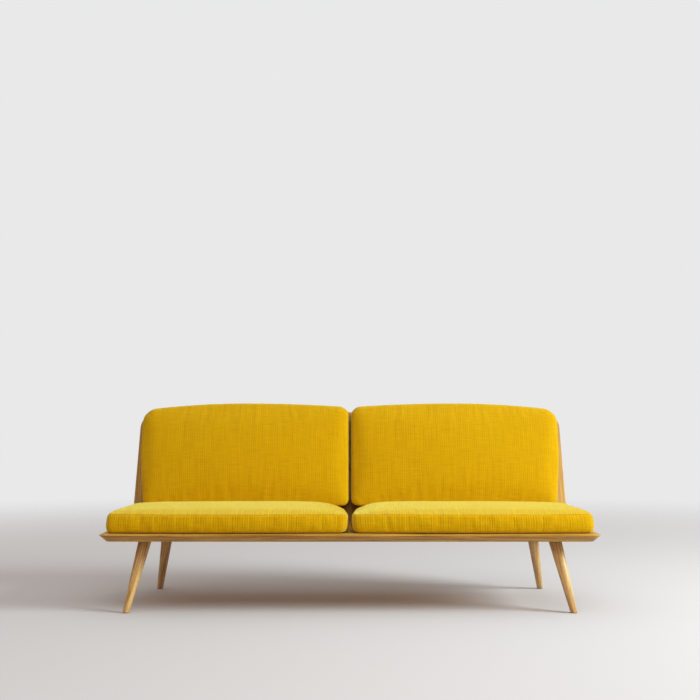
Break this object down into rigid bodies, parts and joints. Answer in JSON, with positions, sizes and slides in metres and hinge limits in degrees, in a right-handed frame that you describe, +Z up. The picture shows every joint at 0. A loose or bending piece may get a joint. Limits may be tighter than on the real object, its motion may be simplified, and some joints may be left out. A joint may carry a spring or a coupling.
{
  "type": "two-seat sofa",
  "caption": "Armless sofa with a bevelled oak seat frame, splayed round legs, a leaning oak back panel and loose mustard-yellow seat and back cushions.",
  "frame": {"origin": "on the floor, under the middle of the sofa's bounding box", "axes": "+X along the sofa to a viewer's right, +Y from its front to its back, +Z up"},
  "size_m": [1.904, 0.8, 0.8081],
  "materials": {
    "oak": "oiled oak, satin, straight grain",
    "slat_beech": "planed beech, raw",
    "black_steel": "black powder coat, fine texture",
    "felt": "pressed brown felt",
    "mustard_weave": "slubbed plain weave, mustard yellow, matt"
  },
  "bodies": {
    "root": {"back_panel": "oak", "slat_left_1": "slat_beech", "slat_left_2": "slat_beech", "slat_left_3": "slat_beech", "slat_left_4": "slat_beech", "slat_left_5": "slat_beech", "slat_right_1": "slat_beech", "slat_right_2": "slat_beech", "slat_right_3": "slat_beech", "slat_right_4": "slat_beech", "slat_right_5": "slat_beech", "rail_front": "oak", "rail_rear": "oak", "rail_left": "oak", "rail_right": "oak", "rail_centre": "oak", "leg_rail_left": "oak", "leg_rail_right": "oak", "leg_front_left": "oak", "leg_front_right": "oak", "leg_rear_left": "oak", "leg_rear_right": "oak", "leg_plate_front_left": "black_steel", "leg_plate_front_right": "black_steel", "leg_plate_rear_left": "black_steel", "leg_plate_rear_right": "black_steel", "glide_front_left": "felt", "glide_front_right": "felt", "glide_rear_left": "felt", "glide_rear_right": "felt", "back_support_left": "black_steel", "back_support_centre": "black_steel", "back_support_right": "black_steel", "rail_bolt_left_1": "black_steel", "rail_bolt_left_2": "black_steel", "rail_bolt_centre_1": "black_steel", "rail_bolt_centre_2": "black_steel", "rail_bolt_right_1": "black_steel", "rail_bolt_right_2": "black_steel", "panel_bolt_left_1": "black_steel", "panel_bolt_left_2": "black_steel", "panel_bolt_centre_1": "black_steel", "panel_bolt_centre_2": "black_steel", "panel_bolt_right_1": "black_steel", "panel_bolt_right_2": "black_steel", "seat_cushion_left": "mustard_weave", "seat_cushion_right": "mustard_weave", "back_cushion_left": "mustard_weave", "back_cushion_right": "mustard_weave"}
  },
  "joints": []
}
